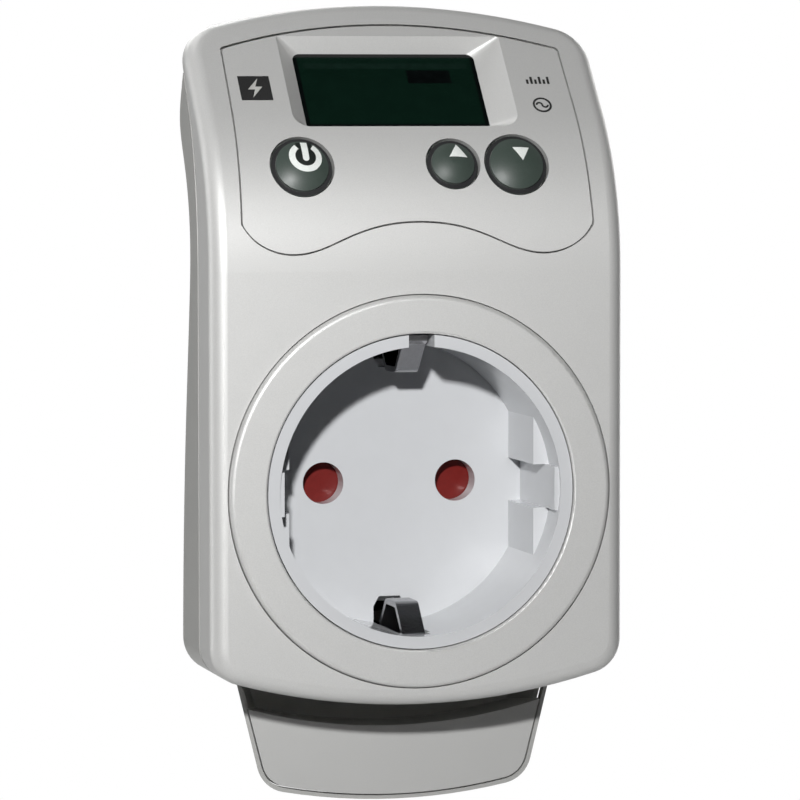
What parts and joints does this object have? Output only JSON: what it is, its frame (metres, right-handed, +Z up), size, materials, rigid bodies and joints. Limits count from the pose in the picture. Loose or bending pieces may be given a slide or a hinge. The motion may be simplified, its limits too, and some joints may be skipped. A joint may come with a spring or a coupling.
{
  "type": "plug in power meter",
  "caption": "Wall-plug power meter with an earthed pass-through socket behind a shutter, a leaning display head with push buttons, and a sensor pod below.",
  "frame": {"origin": "middle of the plug's end face, on the plug's axis between the two pins", "axes": "+X right as seen from the front, +Y back towards the wall socket along the pins, +Z up towards the display"},
  "size_m": [0.058, 0.0765, 0.1103],
  "materials": {
    "silver_paint": "satin silver-grey paint on moulded plastic",
    "rear_paint": "satin darker silver-grey paint on moulded plastic",
    "white_plastic": "glossy white thermoplastic",
    "red_plastic": "brick red plastic",
    "button_rubber": "grey-green silicone rubber",
    "display_glass": "dark green tinted window",
    "lcd": "unpowered display cell",
    "black_plastic": "matte black plastic",
    "contact_rubber": "conductive rubber strip",
    "board": "green solder mask on glass fibre",
    "spring_steel": "nickel-plated spring steel",
    "brass": "brass",
    "pin_plating": "nickel-plated brass",
    "screw_steel": "zinc-plated steel",
    "relay_case": "blue plastic relay case",
    "capacitor_film": "yellow film capacitor case",
    "capacitor_sleeve": "black sleeve",
    "varistor_coat": "blue epoxy coat",
    "copper_alloy": "copper manganese strip",
    "live_insulation": "brown insulation",
    "neutral_insulation": "blue insulation",
    "ribbon": "white flat cable",
    "sensor_epoxy": "black epoxy bead"
  },
  "bodies": {
    "root": {"front_cover": "silver_paint", "control_panel": "silver_paint", "socket_ring": "silver_paint", "sensor_cover": "silver_paint", "rear_cover": "rear_paint", "plug_body": "black_plastic", "socket_insert": "white_plastic", "socket_floor": "white_plastic", "shutter_retainer": "white_plastic", "shutter_spring": "spring_steel", "display_window": "display_glass", "lcd_panel": "lcd", "lcd_frame": "black_plastic", "lcd_contact_strip": "contact_rubber", "display_board": "board", "power_board": "board", "key_switches": "black_plastic", "controller_chip": "black_plastic", "metering_chip": "black_plastic", "display_connector": "ribbon", "power_connector": "ribbon", "ribbon_cable": "ribbon", "live_contact": "brass", "neutral_contact": "brass", "neutral_strip": "brass", "earth_bracket": "spring_steel", "plug_earth_contacts": "spring_steel", "earth_link": "brass", "live_pin": "pin_plating", "neutral_pin": "pin_plating", "relay": "relay_case", "film_capacitor": "capacitor_film", "electrolytic_capacitor": "capacitor_sleeve", "varistor": "varistor_coat", "shunt_resistor": "copper_alloy", "board_screws": "screw_steel", "case_screws": "screw_steel", "temperature_sensor": "sensor_epoxy", "sensor_leads": "black_plastic", "live_feed_wire": "live_insulation", "switched_live_wire": "live_insulation", "neutral_feed_wire": "neutral_insulation"},
    "power_button": {"power_button": "button_rubber"},
    "up_button": {"up_button": "button_rubber"},
    "down_button": {"down_button": "button_rubber"},
    "shutter": {"shutter": "red_plastic"}
  },
  "joints": [
    {"name": "power_button_press", "type": "slide", "parent": "root", "child": "power_button", "axis": [0, 0.9027, -0.4303], "range_m": [0, 0.0007], "stiffness_N_per_m": 900, "springref_m": -0.0004},
    {"name": "up_button_press", "type": "slide", "parent": "root", "child": "up_button", "axis": [0, 0.8983, -0.4394], "range_m": [0, 0.0007], "stiffness_N_per_m": 900, "springref_m": -0.0004},
    {"name": "down_button_press", "type": "slide", "parent": "root", "child": "down_button", "axis": [0, 0.8998, -0.4364], "range_m": [0, 0.0007], "stiffness_N_per_m": 900, "springref_m": -0.0004},
    {"name": "shutter_turn", "type": "hinge", "parent": "root", "child": "shutter", "pos_m": [0, -0.0362, 0], "axis": [0, 1, 0], "range_deg": [0, 40], "stiffness_Nm_per_rad": 0.004, "springref_deg": -20.05, "deforming": ["shutter_spring"]}
  ]
}
